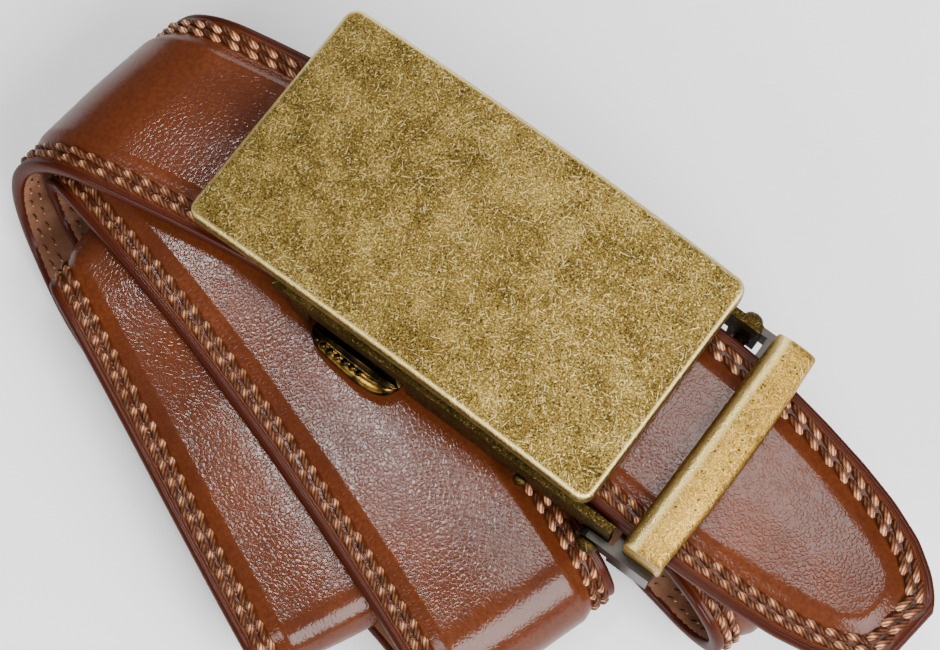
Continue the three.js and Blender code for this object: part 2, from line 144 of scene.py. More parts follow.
def strap_point(s, w, t):
    """Points in metres for arrays of s along the strap, w across it and t off its middle layer, in mm.
    On a pass: centre line + w * side + t * up. In a bend: q = s cos a + w sin a is wrapped round a
    cylinder whose radius is half the height between the two passes."""
    s, w, t = np.broadcast_arrays(*(np.asarray(v, float) for v in (s, w, t)))
    out = np.zeros((*s.shape, 3))
    for i, zone in enumerate(ZONES):
        here = (s >= zone["at"]) if i else np.full(s.shape, True)
        if i + 1 < len(ZONES):
            here = here & (s < zone["at"] + zone["length"])
        along, across, off, up = s[here] - zone["at"], w[here], t[here], zone["up"]
        if zone["flat"]:
            line, run = zone["line"], zone["run"]
            clipped = np.clip(along, 0, run[-1])
            centre = np.stack([np.interp(clipped, run, line[:, k]) for k in range(3)], 1)
            slope = np.gradient(line, run, axis=0)
            d = np.stack([np.interp(clipped, run, slope[:, k]) for k in range(2)], 1)
            centre[:, :2] += d * (along - clipped)[:, None]
            side = np.stack([d[:, 1], -d[:, 0]], 1) * up
            share = ease((clipped / run[-1] - zone["start"]) / (zone["stop"] - zone["start"]))
            point = centre
            point[:, :2] += side * across[:, None]
            point[:, 2] = zone["z0"] + (zone["z1"] - zone["z0"]) * share + up * off
        else:
            r, c, n = zone["radius"], math.cos(zone["alpha"]), math.sin(zone["alpha"])
            along = along - zone["lead"]
            q, b = along * c + across * n, -along * n + across * c
            half = math.pi * r
            phi = np.clip(q, 0, half) / r
            bent = (r + off) * np.sin(phi) + np.minimum(q, 0) - np.maximum(q - half, 0)
            point = zone["target"] + zone["a"] * b[:, None] + zone["p"] * bent[:, None]
            point[:, 2] = zone["z0"] + up * ((r + off) * np.cos(phi) - r)
        out[here] = point
    return (out + TO_FRAME) * MM


tip_at = np.arange(0, 60, 0.1)
tip_share = np.interp(tip_at, *zip(*TIP))
soften = np.exp(-0.5 * (np.arange(-20, 21) / 8) ** 2)
tip_share = np.pad(tip_share, 20, mode="reflect", reflect_type="odd")
tip_share = np.convolve(tip_share, soften / soften.sum(), "valid")


def half_width(s):
    """Half the strap's width at s: the tip's outline, then the full width."""
    return STRAP_HALF * np.interp(s, tip_at, tip_share)


def rim_distance(s, w):
    """Distance from the strap's outline: the smaller one of side, to the long edge corrected for its
    slope, and s, to the blunt end, blended as -k log(exp(-side / k) + exp(-s / k))."""
    slope = half_width(s + 0.5) - half_width(s - 0.5)
    side = (half_width(s) - np.abs(w)) / np.sqrt(1 + slope ** 2)
    k = 0.9
    return -k * np.log(np.exp(-side / k) + np.exp(-np.maximum(s, 0) / k))


def sections(shares=1.0):
    """Places along the strap where a cross-section is made, closer where the strap shows or bends."""
    found = [np.array([0.02, 0.12, 0.28, 0.5, 0.8, 1.15])]
    for i, zone in enumerate(ZONES):
        first = zone["at"] if i else 1.55
        n = max(2, round((zone["at"] + zone["length"] - first) / (zone["step"] * shares)))
        found.append(np.linspace(first, zone["at"] + zone["length"], n, endpoint=False))
    return np.concatenate([*found, [STRAP_LENGTH]])


def facing_out(points, quads):
    """The quads, turned round if the volume that they enclose comes out negative."""
    a, b, c, d = (points[quads[:, k]] for k in range(4))
    volume = np.sum(np.cross(b - a, c - a) * a) + np.sum(np.cross(c - a, d - a) * a)
    return quads[:, ::-1] if volume < 0 else quads


def surface(name, points, quads, uv=None, marks=None):
    """Mesh object from an array of points in metres and an array of quads, with one map and named
    numbers per point."""
    points = np.asarray(points, float).reshape(-1, 3)
    quads = facing_out(points, np.asarray(quads, np.int32))
    mesh = bpy.data.meshes.new(name)
    mesh.vertices.add(len(points))
    mesh.vertices.foreach_set("co", points.astype(np.float32).ravel())
    mesh.loops.add(quads.size)
    mesh.loops.foreach_set("vertex_index", quads.ravel())
    mesh.polygons.add(len(quads))
    mesh.polygons.foreach_set("loop_start", np.arange(0, quads.size, 4, dtype=np.int32))
    mesh.polygons.foreach_set("use_smooth", np.ones(len(quads), bool))
    if uv is not None:
        layer = mesh.uv_layers.new(name="UVMap")
        layer.data.foreach_set("uv", np.asarray(uv, np.float32).reshape(-1, 2)[quads.ravel()].ravel())
    for key, values in (marks or {}).items():
        mesh.attributes.new(key, "FLOAT", "POINT").data.foreach_set(
            "value", np.asarray(values, np.float32).ravel())
    mesh.update(calc_edges=True)
    mesh.validate()
    obj = bpy.data.objects.new(name, mesh)
    bpy.context.scene.collection.objects.link(obj)
    return obj


def tube_quads(rows, columns, start=0):
    """Quads of a grid that closes on itself across its columns, with both ends filled across the ring:
    column j is joined to column -1 - j, so that the fill is a strip."""
    i, j = np.meshgrid(np.arange(rows - 1), np.arange(columns), indexing="ij")
    k = (j + 1) % columns
    walls = np.stack([i * columns + j, i * columns + k, (i + 1) * columns + k, (i + 1) * columns + j], -1)
    m = np.arange(columns // 2 - 1)
    strip = np.stack([m, columns - 1 - m, columns - 2 - m, m + 1], -1)
    last = strip[:, ::-1] + (rows - 1) * columns
    return np.concatenate([walls.reshape(-1, 4), strip, last]) + start


# Strap leather
# The face of the belt is aniline-finished cowhide, skived thin at the margins and padded in the
# middle, so a step runs beside the stitching. Its edges are rounded and painted.
EDGE_MIDDLE = -0.55
EDGE_HALF = 1.2
EDGE_BULGE = 0.7
MARGIN_TOP = 0.68
CREASE = (1.15, 0.17, 0.13)  # place, half-width and depth
GUTTER = (1.5, 4.3, 0.16)  # start, end and depth
STEP = (4.2, 2.9, 0.98)  # start, width and height
CROWN = (6.0, 11.0, 0.24)  # start, width and height


def face_height(d):
    """Height of the leather's face over the middle layer by distance d from the outline: an edge
    crease, a flat margin with a shallow gutter, a step, then the padded crown."""
    crease = CREASE[2] * np.exp(-(((d - CREASE[0]) / CREASE[1]) ** 2))
    gutter = GUTTER[2] * ease((d - GUTTER[0]) / 0.5) * (1 - ease((d - GUTTER[1]) / 0.6))
    step = STEP[2] * ease((d - STEP[0]) / STEP[1])
    crown = CROWN[2] * ease((d - CROWN[0]) / CROWN[1])
    return MARGIN_TOP - crease - gutter + step + crown


# columns across the face: close together from the edge to the crown, wider apart on the crown
crown_from = 7.2
columns_in = np.concatenate([np.linspace(0, crown_from, 33), np.linspace(crown_from, STRAP_HALF, 10)[1:]])
columns_in = columns_in / STRAP_HALF
face_share = np.concatenate([1 - columns_in, -(1 - columns_in[:-1][::-1])])
s_face = sections()
h = half_width(s_face)[:, None]
inner = h - EDGE_BULGE
w_face = inner * face_share
s_grid = np.broadcast_to(s_face[:, None], w_face.shape)
rim = rim_distance(s_grid, w_face)
closing = np.sqrt(1 - (1 - np.clip(s_grid / 1.1, 0, 1)) ** 2)
t_face = EDGE_MIDDLE + (face_height(rim) - EDGE_MIDDLE) * closing
# the rounded edge on both sides, then the flat underside
turn = np.linspace(0, math.pi, 9)[1:-1]
edge_w = EDGE_BULGE * np.sin(turn) ** 0.8
edge_t = np.cos(turn)
edge_top = t_face[:, :1] - EDGE_MIDDLE
edge_rise = np.where(edge_t > 0, edge_top * edge_t, EDGE_HALF * closing[:, :1] * edge_t)
under = np.linspace(-1, 1, 9)
w_ring = np.concatenate([w_face, -inner - edge_w, inner * under, (inner + edge_w)[:, ::-1]], 1)
t_under = np.broadcast_to(EDGE_MIDDLE - EDGE_HALF * closing[:, :1], (len(s_face), len(under)))
t_edge = EDGE_MIDDLE + edge_rise
t_ring = np.concatenate([t_face, t_edge, t_under, t_edge[:, ::-1]], 1)
s_ring = np.broadcast_to(s_face[:, None], w_ring.shape)
on_edge = np.full(t_edge.shape, -0.5)
rim_marks = np.concatenate([rim, on_edge, np.full(t_under.shape, -1.0), on_edge], 1)
leather = surface(
    "strap_leather_skin", strap_point(s_ring, w_ring, t_ring), tube_quads(*w_ring.shape),
    uv=np.stack([s_ring, w_ring], -1), marks={"rim": rim_marks})


def colour(value, alpha=1.0):
    """sRGB hex such as 0x7a3c1e as linear red, green, blue and alpha."""
    channels = [((value >> shift) & 255) / 255 for shift in (16, 8, 0)]
    return (*[c / 12.92 if c <= 0.04045 else ((c + 0.055) / 1.055) ** 2.4 for c in channels], alpha)


def add(tree, kind, inputs, out=0, stops=(), **settings):
    """Adds a node with its settings and links, and returns one of its outputs. Each input is a socket
    to link or a value to set; the stops of a colour ramp are pairs of place and hex colour."""
    made = tree.nodes.new(kind)
    for key, value in settings.items():
        setattr(made, key, value)
    for key, value in inputs.items():
        if isinstance(value, bpy.types.NodeSocket):
            tree.links.new(value, made.inputs[key])
        else:
            made.inputs[key].default_value = value
    for k, (place, value) in enumerate(stops):
        if k > 1:
            made.color_ramp.elements.new(place)
        made.color_ramp.elements[k].position = place
        made.color_ramp.elements[k].color = colour(value)
    return made.outputs[out]


def new_material(name, **sockets):
    """A material with its shader; the sockets hold what is the same all over."""
    made = bpy.data.materials.new(name)
    made.use_nodes = True
    shader = made.node_tree.nodes["Principled BSDF"]
    for key, value in sockets.items():
        shader.inputs[key.replace("_", " ")].default_value = value
    return made, made.node_tree, shader


# Aniline-finished cowhide, plated and polished: a brown dye that is a little darker in the folds of
# a fine pebbled grain, under a thin clear finish that breaks the light into small sparkles.
cowhide, tree, shader = new_material(
    "aniline cowhide, polished", Specular_IOR_Level=0.06, Roughness=0.6)
GRAIN = 0.62  # size of a pebble
place = add(tree, "ShaderNodeUVMap", {}, uv_map="UVMap")
rim_mark = add(tree, "ShaderNodeAttribute", {}, "Fac", attribute_name="rim")
warp = add(tree, "ShaderNodeTexNoise", {"Vector": place, "Scale": 0.5, "Detail": 2.0}, "Color")
shifted = add(tree, "ShaderNodeVectorMath", {0: place, 1: warp}, operation="ADD")
pebbles = add(tree, "ShaderNodeTexVoronoi", {"Vector": shifted, "Scale": 1 / GRAIN, "Smoothness": 0.6},
              feature="SMOOTH_F1")
folds = add(tree, "ShaderNodeTexVoronoi", {"Vector": shifted, "Scale": 1 / (1.15 * GRAIN)},
            feature="DISTANCE_TO_EDGE")
dye = add(tree, "ShaderNodeTexNoise", {"Vector": place, "Scale": 0.05, "Detail": 3.0})
gloss = add(tree, "ShaderNodeTexNoise", {"Vector": place, "Scale": 0.12, "Detail": 3.0})
body = add(tree, "ShaderNodeValToRGB", {0: dye}, stops=[(0.3, 0x451E0A), (0.5, 0x52260E), (0.72, 0x5F2D12)])
# how far the colour goes towards a darker one: in the grain, on the edge, along the crease and over the
# margin up to the step
for value, limits, dark in (
        (pebbles, (0.25, 0.75, 0.0, 0.4), 0x3E1506), (rim_mark, (0.95, 1.1, 1.0, 0.0), 0x44190A),
        (rim_mark, (1.45, 1.1, 0.0, 0.75), 0x2C0D04), (rim_mark, (4.9, 4.3, 0.0, 0.4), 0x3C1405)):
    share = add(tree, "ShaderNodeMapRange", {0: value, **dict(enumerate(limits, 1))},
                interpolation_type="SMOOTHSTEP")
    body = add(tree, "ShaderNodeMix", {0: share, 6: body, 7: colour(dark)}, 2, data_type="RGBA")
tree.links.new(body, shader.inputs["Base Color"])
rough = add(tree, "ShaderNodeMapRange", {0: gloss, 1: 0.3, 2: 0.7, 3: 0.13, 4: 0.2})
tree.links.new(rough, shader.inputs["Coat Roughness"])
film = add(tree, "ShaderNodeMapRange", {0: rim_mark, 1: 2.0, 2: 8.0, 3: 0.15, 4: 0.45})
tree.links.new(film, shader.inputs["Coat Weight"])
# the grain stands up to 0.1 mm high on the face and fades out towards the painted edge
fold = add(tree, "ShaderNodeMapRange", {0: folds, 1: 0.0, 2: 0.28, 4: 0.045},
           interpolation_type="SMOOTHSTEP")
grain = add(tree, "ShaderNodeMath", {0: pebbles, 1: -0.03, 2: fold}, operation="MULTIPLY_ADD")
wrinkles = add(tree, "ShaderNodeTexNoise", {"Vector": place, "Scale": 0.22, "Detail": 4.0})
grain = add(tree, "ShaderNodeMath", {0: wrinkles, 1: 0.02, 2: grain}, operation="MULTIPLY_ADD")
plain = add(tree, "ShaderNodeMapRange", {0: rim_mark, 1: 1.2, 2: 1.8})
grain = add(tree, "ShaderNodeMath", {0: grain, 1: plain}, operation="MULTIPLY")
bump = add(tree, "ShaderNodeBump", {"Height": grain, "Distance": MM, "Strength": 0.27})
tree.links.new(bump, shader.inputs["Normal"])
tree.links.new(bump, shader.inputs["Coat Normal"])
leather.data.materials.append(cowhide)
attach(leather, "belt")
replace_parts(leather, "strap_leather")


# Strap lining
# A thin split of undyed leather is glued to the whole back. It shows inside the bends as a matt band,
# coloured darker than its own tan as painted shade for the shadow in the bends.
LINING_INSET = 0.75
LINING_TOP = -1.35
LINING_UNDER = -1.9
lining_share = np.linspace(1, -1, 25)
s_lining = np.concatenate([[1.0], sections(1.6)[6:-1], [STRAP_LENGTH - 0.1]])
half_lining = half_width(s_lining)[:, None] - LINING_INSET
w_top = half_lining * lining_share
w_lining = np.concatenate([w_top, w_top[:, ::-1]], 1)
t_low = np.where(np.abs(lining_share) > 0.99, LINING_UNDER + 0.2, LINING_UNDER)
t_lining = np.broadcast_to(np.concatenate([np.full(25, LINING_TOP), t_low]), w_lining.shape)
s_wide = np.broadcast_to(s_lining[:, None], w_lining.shape)
lining = surface(
    "strap_lining_skin", strap_point(s_wide, w_lining, t_lining), tube_quads(*w_lining.shape),
    uv=np.stack([s_wide, w_lining], -1))
# Split leather, sanded: a short fibrous nap with no shine and soft cloudy tone.
split, tree, shader = new_material("split leather, sanded", Roughness=0.85, Specular_IOR_Level=0.15)
place = add(tree, "ShaderNodeUVMap", {}, uv_map="UVMap")
clouds = add(tree, "ShaderNodeTexNoise", {"Vector": place, "Scale": 0.25, "Detail": 6.0})
# painted shade: the whole lining is coloured a darker brown than its tan, and the clouds vary it at random
tone = add(tree, "ShaderNodeValToRGB", {0: clouds},
           stops=[(0.3, 0x553524), (0.55, 0x6C4936), (0.75, 0x7C5842)])
tree.links.new(tone, shader.inputs["Base Color"])
fibres = add(tree, "ShaderNodeTexNoise", {"Vector": place, "Scale": 3.0, "Detail": 3.0})
bump = add(tree, "ShaderNodeBump", {"Height": fibres, "Distance": 0.12 * MM, "Strength": 0.7})
tree.links.new(bump, shader.inputs["Normal"])
lining.data.materials.append(split)
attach(lining, "belt")
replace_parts(lining, "strap_lining")


# Stitching
# Two rows of lockstitch in waxed twisted thread run beside each edge and round the tip. The thread
# dips into a punched hole at each end of a stitch and stands proud of the gutter between.
THREAD = 0.58
BACK_THREAD = 0.36
STITCH_ROWS = {"stitches_outer_row": 2.35, "stitches_inner_row": 3.95}  # distance from the outline
STITCH_PITCH = 3.25


def row_path(offset):
    """Points (s, w) of a stitch row: up one side at that distance from the outline, across the blunt
    end and back down the other side."""
    s = np.concatenate([np.arange(STRAP_LENGTH - 4, 45, -1.0), np.arange(45, offset, -0.2)])
    slope = half_width(s + 0.5) - half_width(s - 0.5)
    w = half_width(s) - offset * np.sqrt(1 + slope ** 2)
    keep = w > 0.4
    s, w = s[keep], w[keep]
    end = np.linspace(w[-1], -w[-1], 40)[1:-1]
    return np.concatenate([s, np.full(38, s[-1]), s[::-1]]), np.concatenate([w, end, -w[::-1]])


def stitch_row(offset, rings, sides, thread, lift, twist):
    """All stitches of one row: s, w and height of their points, their map and their quads. Each runs
    from one hole to the next. With m = |2u - 1| along it, its radius is thread (1 - 0.42 m^5), its
    middle lies at lift (1 - m^3) - 0.42 thread m^3, and its section has three lobes that turn."""
    s, w = row_path(offset)
    run = np.concatenate([[0], np.cumsum(np.hypot(np.diff(s), np.diff(w)))])
    n = int(run[-1] / STITCH_PITCH)
    at = np.linspace(0, run[-1], n + 1)
    s0, w0 = np.interp(at, run, s), np.interp(at, run, w)
    ds, dw = np.diff(s0), np.diff(w0)
    length = np.hypot(ds, dw)
    u = np.linspace(0, 1, rings)[:, None]
    a = np.linspace(0, 2 * math.pi, sides, endpoint=False)[None, :]
    from_middle = np.abs(2 * u - 1)
    radius = thread * (1 - 0.42 * from_middle ** 5)
    lobes = 1 + 0.12 * np.cos(3 * (a - twist * u))
    y = radius * lobes * np.cos(a)
    z = radius * lobes * np.sin(a) + lift * (1 - from_middle ** 3) - 0.42 * thread * from_middle ** 3
    y = y + 0.36 * (2 * u - 1)
    x = (u * 1.1 - 0.05) + 0 * a
    e_s, e_w = (ds / length)[:, None, None], (dw / length)[:, None, None]
    ps = s0[:-1, None, None] + e_s * x * length[:, None, None] - e_w * y
    pw = w0[:-1, None, None] + e_w * x * length[:, None, None] + e_s * y
    uv = np.broadcast_to(np.stack([x * STITCH_PITCH, a / (2 * math.pi) + 0 * u], -1), (n, rings, sides, 2))
    quads = tube_quads(rings, sides)
    every = (quads[None] + (np.arange(n) * rings * sides)[:, None, None]).reshape(-1, 4)
    return ps, pw, np.broadcast_to(z, ps.shape), uv, every


# Waxed polyester thread, twisted from plies: dark brown, with a soft gleam from the wax on each slanted ply.
# Tan crests on each stitch are a painted highlight, and the plies are painted lighter across their middles
# than in their grooves, as painted light and shade.
thread_stuff, tree, shader = new_material("waxed polyester thread, twisted", Roughness=0.5,
                                          Specular_IOR_Level=0.12)
place = add(tree, "ShaderNodeUVMap", {}, uv_map="UVMap")
# the plies: two turns round the thread, and about one and a half along a stitch
slanted = add(tree, "ShaderNodeVectorMath", {0: place, 1: (3.0, 4 * math.pi, 0.0)}, "Value",
              operation="DOT_PRODUCT")
wave = add(tree, "ShaderNodeMath", {0: slanted}, operation="SINE")
ply = add(tree, "ShaderNodeMath", {0: wave}, operation="ABSOLUTE")
solid = add(tree, "ShaderNodeTexCoord", {}, "Object")
fuzz = add(tree, "ShaderNodeTexNoise", {"Vector": solid, "Scale": 900.0, "Detail": 3.0})
# a painted highlight: the part of each stitch that rises towards its next hole is coloured tan
crest_highlight = add(tree, "ShaderNodeSeparateXYZ", {0: place}, "X")
crest_highlight = add(tree, "ShaderNodeMapRange", {0: crest_highlight, 1: 1.5, 2: 2.6, 3: 0.08, 4: 0.4},
            interpolation_type="SMOOTHSTEP")
# the place on the colour ramp: plies painted lighter across their middles and darker in their grooves, the
# painted crest highlight, and a fine random fuzz
wear_and_painted_light = add(tree, "ShaderNodeMath", {0: ply, 1: 0.28, 2: crest_highlight}, operation="MULTIPLY_ADD")
wear_and_painted_light = add(tree, "ShaderNodeMath", {0: fuzz, 1: 0.5, 2: wear_and_painted_light}, operation="MULTIPLY_ADD")
tone = add(tree, "ShaderNodeValToRGB", {0: wear_and_painted_light},
           stops=[(0.3, 0x221008), (0.55, 0x482613), (0.78, 0x885838), (0.95, 0xDAA684)])
tree.links.new(tone, shader.inputs["Base Color"])
bump = add(tree, "ShaderNodeBump", {"Height": ply, "Distance": 0.08 * MM, "Strength": 0.9})
tree.links.new(bump, shader.inputs["Normal"])

for name, offset in STITCH_ROWS.items():
    ps, pw, z, uv, quads = stitch_row(offset, 8, 8, THREAD, 0.22, 2.2)
    ground = float(face_height(np.array(offset)))
    row = surface(name, strap_point(ps, pw, ground + z), quads, uv=uv)
    row.data.materials.append(thread_stuff)
    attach(row, "belt")
    ps, pw, z, uv, quads = stitch_row(offset, 5, 6, BACK_THREAD, 0.12, 2.0)
    back = surface(name + "_back", strap_point(ps, pw, LINING_UNDER + 0.2 - z * 0.55), quads, uv=uv)
    back.data.materials.append(thread_stuff)
    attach(back, "belt")


# Face plate
# The cover of the buckle is die-cast zinc, plated in brass and blackened, then tumbled so that
# short bright scratches cross the dark patina. It is arched along its length and has a soft rim.
PLATE_HALF = (38.2, 21.2)
PLATE_MIDDLE = 1.8
PLATE_CORNER = 2.2
PLATE_RISE = 3.0
PLATE_EDGE = 33.9
PLATE_LOW = 30.3
PLATE_WALL = 1.7
RIM_RADIUS = 0.85


def plate_ring(inset, fill, level):
    """One ring of the plate: its rounded outline moved inwards by inset and drawn in to the middle by
    fill. The height is z = level + rise (1 - (x / half length)^2)."""
    n, steps = 60, 14
    angle = np.linspace(0, 2 * math.pi, 4 * n, endpoint=False)
    sign = np.array([[1, 1], [-1, 1], [-1, -1], [1, -1]])[np.arange(4 * n) // n]
    corner = np.array(PLATE_HALF) - PLATE_CORNER - max(0.0, inset - PLATE_CORNER + 0.05)
    direction = np.stack([np.cos(angle), np.sin(angle)], 1)
    xy = sign * corner + direction * max(0.05, PLATE_CORNER - inset)
    closed = np.vstack([xy, xy[:1]]) * fill
    # each quarter's arc points, then the steps along the straight side that follows
    stops = np.concatenate([np.arange(n), n - 1 + np.arange(1, steps) / steps]) + n * np.arange(4)[:, None]
    x, y = (np.interp(stops.ravel(), np.arange(4 * n + 1), closed[:, k]) for k in (0, 1))
    return np.stack([x, y + PLATE_MIDDLE, level + PLATE_RISE * (1 - (x / PLATE_HALF[0]) ** 2)], 1)


# (inset, fill, level) of the rings: across the back, down the lip's inside, under it, up the outside,
# over the rounded rim and across the face
fills = (0.97, 0.9, 0.8, 0.65, 0.5, 0.35, 0.2, 0.08, 0.004)
inside = PLATE_EDGE - PLATE_WALL
back_rings = [*((PLATE_WALL, fill, inside) for fill in fills[::-1]), (PLATE_WALL, 1, inside - 0.2)]
lip_rings = [(PLATE_WALL, 1, PLATE_LOW + 0.25), (PLATE_WALL - 0.25, 1, PLATE_LOW), (0.25, 1, PLATE_LOW),
             (0, 1, PLATE_LOW + 0.25)]
rim_rings = [(RIM_RADIUS * (1 - math.cos(bend)), 1, PLATE_EDGE - RIM_RADIUS + RIM_RADIUS * math.sin(bend))
             for bend in np.linspace(0, math.pi / 2, 7)]
face_rings = [(RIM_RADIUS, fill, PLATE_EDGE) for fill in fills]
plate_points = np.array([plate_ring(*ring) for ring in (*back_rings, *lip_rings, *rim_rings, *face_rings)])
# how much bright metal shows: most of all on the rounded rim, partly worn plating and partly a painted
# highlight along the rim
rim_wear_and_highlight = np.zeros(plate_points.shape[:2])
rim_wear_and_highlight[len(back_rings) + 2:len(back_rings) + 4] = 0.2
rim_wear_and_highlight[len(back_rings) + 6:len(back_rings) + 10] = np.array([0.1, 0.7, 1.0, 0.3])[:, None]
plate = surface("face_plate_cover", (plate_points + TO_FRAME) * MM, tube_quads(*rim_wear_and_highlight.shape),
                marks={"wear_and_painted_light": rim_wear_and_highlight})


def antique_brass(name, dark, mid, bright, fleck, rough_low, rough_high):
    """Brass plate, blackened and tumbled: dark oxide stays in the pits, and short scratches in most
    directions show clean metal, which flashes where it meets the light."""
    stuff, tree, shader = new_material(name, Metallic=1.0)
    solid = add(tree, "ShaderNodeTexCoord", {}, "Object")
    place = add(tree, "ShaderNodeVectorMath", {0: solid, "Scale": 1 / MM}, operation="SCALE")
    patches = add(tree, "ShaderNodeTexNoise",
                  {"Vector": place, "Scale": 0.2, "Detail": 6.0, "Roughness": 0.6})
    speckle = add(tree, "ShaderNodeTexNoise",
                  {"Vector": place, "Scale": 3.4, "Detail": 6.0, "Roughness": 0.88})
    tone = add(tree, "ShaderNodeMath", {0: patches, 1: 0.16, 2: 0.02}, operation="MULTIPLY_ADD")
    tone = add(tree, "ShaderNodeMath", {0: speckle, 1: 0.8, 2: tone}, operation="MULTIPLY_ADD")
    base = add(tree, "ShaderNodeValToRGB", {0: tone},
               stops=[(0.43, dark), (0.505, mid), (0.58, bright), (0.65, fleck)])

    # one short, slightly bowed scratch in each cell of a pattern in plan, which leans with the height so
    # that it doesn't run down the walls: the cell's random colour gives heading and strength, and all are
    # bowed alike
    lean = add(tree, "ShaderNodeSeparateXYZ", {0: place}, "Z")
    lean = add(tree, "ShaderNodeCombineXYZ", {0: lean, 1: lean})
    flat = add(tree, "ShaderNodeVectorMath", {0: lean, 1: (0.7, -0.7, 0.0), 2: place},
               operation="MULTIPLY_ADD")
    marks = 0.0
    for k, (spacing, long, wide) in enumerate((
            (2.4, 1.6, 0.07), (1.8, 1.1, 0.07), (1.2, 0.6, 0.08), (0.8, 0.3, 0.1))):  # all in mm
        moved = add(tree, "ShaderNodeVectorMath", {0: flat, 1: (7.3 * k, 3.1 * k, 0.0)}, operation="ADD")
        middle = add(tree, "ShaderNodeTexVoronoi", {"Vector": moved, "Scale": 1 / spacing}, "Position",
                     voronoi_dimensions="2D")
        picked = add(tree, "ShaderNodeSeparateColor", {0: middle.node.outputs["Color"]}).node.outputs
        arm = add(tree, "ShaderNodeVectorMath", {0: moved, 1: middle}, operation="SUBTRACT")
        heading = add(tree, "ShaderNodeMath", {0: picked[0], 1: 2.6, 2: 0.5}, operation="MULTIPLY_ADD")
        turned = add(tree, "ShaderNodeVectorRotate", {"Vector": arm, "Angle": heading},
                     rotation_type="Z_AXIS")
        ends = add(tree, "ShaderNodeSeparateXYZ", {0: turned}).node.outputs
        square = add(tree, "ShaderNodeMath", {0: ends[0], 1: 2.0}, operation="POWER")
        bowed = add(tree, "ShaderNodeMath", {0: square, 1: 0.04, 2: ends[1]}, operation="MULTIPLY_ADD")
        across = add(tree, "ShaderNodeMath", {0: bowed}, operation="ABSOLUTE")
        along = add(tree, "ShaderNodeMath", {0: ends[0]}, operation="ABSOLUTE")
        line = add(tree, "ShaderNodeMapRange", {0: across, 1: wide, 2: 0.2 * wide},
                   interpolation_type="SMOOTHSTEP")
        ended = add(tree, "ShaderNodeMapRange", {0: along, 1: 0.6 * long, 2: 0.3 * long},
                    interpolation_type="SMOOTHSTEP")
        strength = add(tree, "ShaderNodeMapRange", {0: picked[2], 1: 0.3, 2: 1.0, 4: 0.75})
        line = add(tree, "ShaderNodeMath", {0: line, 1: ended}, operation="MULTIPLY")
        line = add(tree, "ShaderNodeMath", {0: line, 1: strength}, operation="MULTIPLY")
        marks = add(tree, "ShaderNodeMath", {0: line, 1: marks}, operation="MAXIMUM")
    base = add(tree, "ShaderNodeMix", {0: marks, 6: base, 7: colour(fleck)}, 2, data_type="RGBA")

    # oxide in a few pits, and painted shade on what a mesh marks as shaded; clean metal and painted
    # highlights on what it marks as worn or lit
    pits = add(tree, "ShaderNodeTexVoronoi", {"Vector": place, "Scale": 0.8})
    pit = add(tree, "ShaderNodeMapRange", {0: pits, 1: 0.2, 2: 0.08, 4: 0.85},
              interpolation_type="SMOOTHSTEP")
    shaded = add(tree, "ShaderNodeAttribute", {}, "Fac", attribute_name="painted_shade")
    oxide_and_shade = add(tree, "ShaderNodeMath", {0: shaded, 1: 0.75, 2: pit}, operation="MULTIPLY_ADD",
                 use_clamp=True)
    base = add(tree, "ShaderNodeMix", {0: oxide_and_shade, 6: base, 7: colour(0x2A200C)}, 2, data_type="RGBA")
    # a bright colour where a mesh marks it: partly worn plating and partly a painted highlight on the
    # plate's rim, and a painted highlight line on the keeper's ridge
    wear_and_painted_light = add(tree, "ShaderNodeAttribute", {}, "Fac", attribute_name="wear_and_painted_light")
    patchy = add(tree, "ShaderNodeMapRange", {0: speckle, 1: 0.3, 2: 0.55, 3: 0.5, 4: 1.0})
    rub_and_highlight = add(tree, "ShaderNodeMath", {0: wear_and_painted_light, 1: patchy}, operation="MULTIPLY")
    base = add(tree, "ShaderNodeMix", {0: rub_and_highlight, 6: base, 7: colour(0xFFE496)}, 2, data_type="RGBA")
    tree.links.new(base, shader.inputs["Base Color"])

    rough = add(tree, "ShaderNodeMapRange", {0: tone, 1: 0.4, 2: 0.65, 3: rough_high, 4: rough_low})
    polish = add(tree, "ShaderNodeMath", {0: marks, 1: rub_and_highlight}, operation="MAXIMUM")
    rough = add(tree, "ShaderNodeMath", {0: polish, 1: -0.14, 2: rough}, operation="MULTIPLY_ADD")
    tree.links.new(rough, shader.inputs["Roughness"])
    height = add(tree, "ShaderNodeMath", {0: marks, 1: -0.5, 2: speckle}, operation="MULTIPLY_ADD")
    height = add(tree, "ShaderNodeMath", {0: pit, 1: -1.0, 2: height}, operation="MULTIPLY_ADD")
    bump = add(tree, "ShaderNodeBump", {"Height": height, "Distance": 0.085 * MM, "Strength": 0.9})
    tree.links.new(bump, shader.inputs["Normal"])
    return stuff


plate_brass = antique_brass("brass plating, blackened and tumbled", 0x2A210E, 0x6A5626, 0xB0944C, 0xFFECAC,
                            0.36, 0.52)
plate.data.materials.append(plate_brass)
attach(plate, "belt")
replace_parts(plate, "face_plate")


# Keeper
# A cast bar with a rounded top bridges the tail and stands on the clamp on two short legs. Rubbing has worn
# its top to a pale sandy gold. A bright line along the ridge on the plate's side is a painted highlight, and
# the narrow bevel below it is painted dark as shade.
KEEPER_X = 49.4
KEEPER_WIDTH = 7.3
KEEPER_HALF = 20.3
KEEPER_UNDER = 30.2
KEEPER_RISE = 3.0
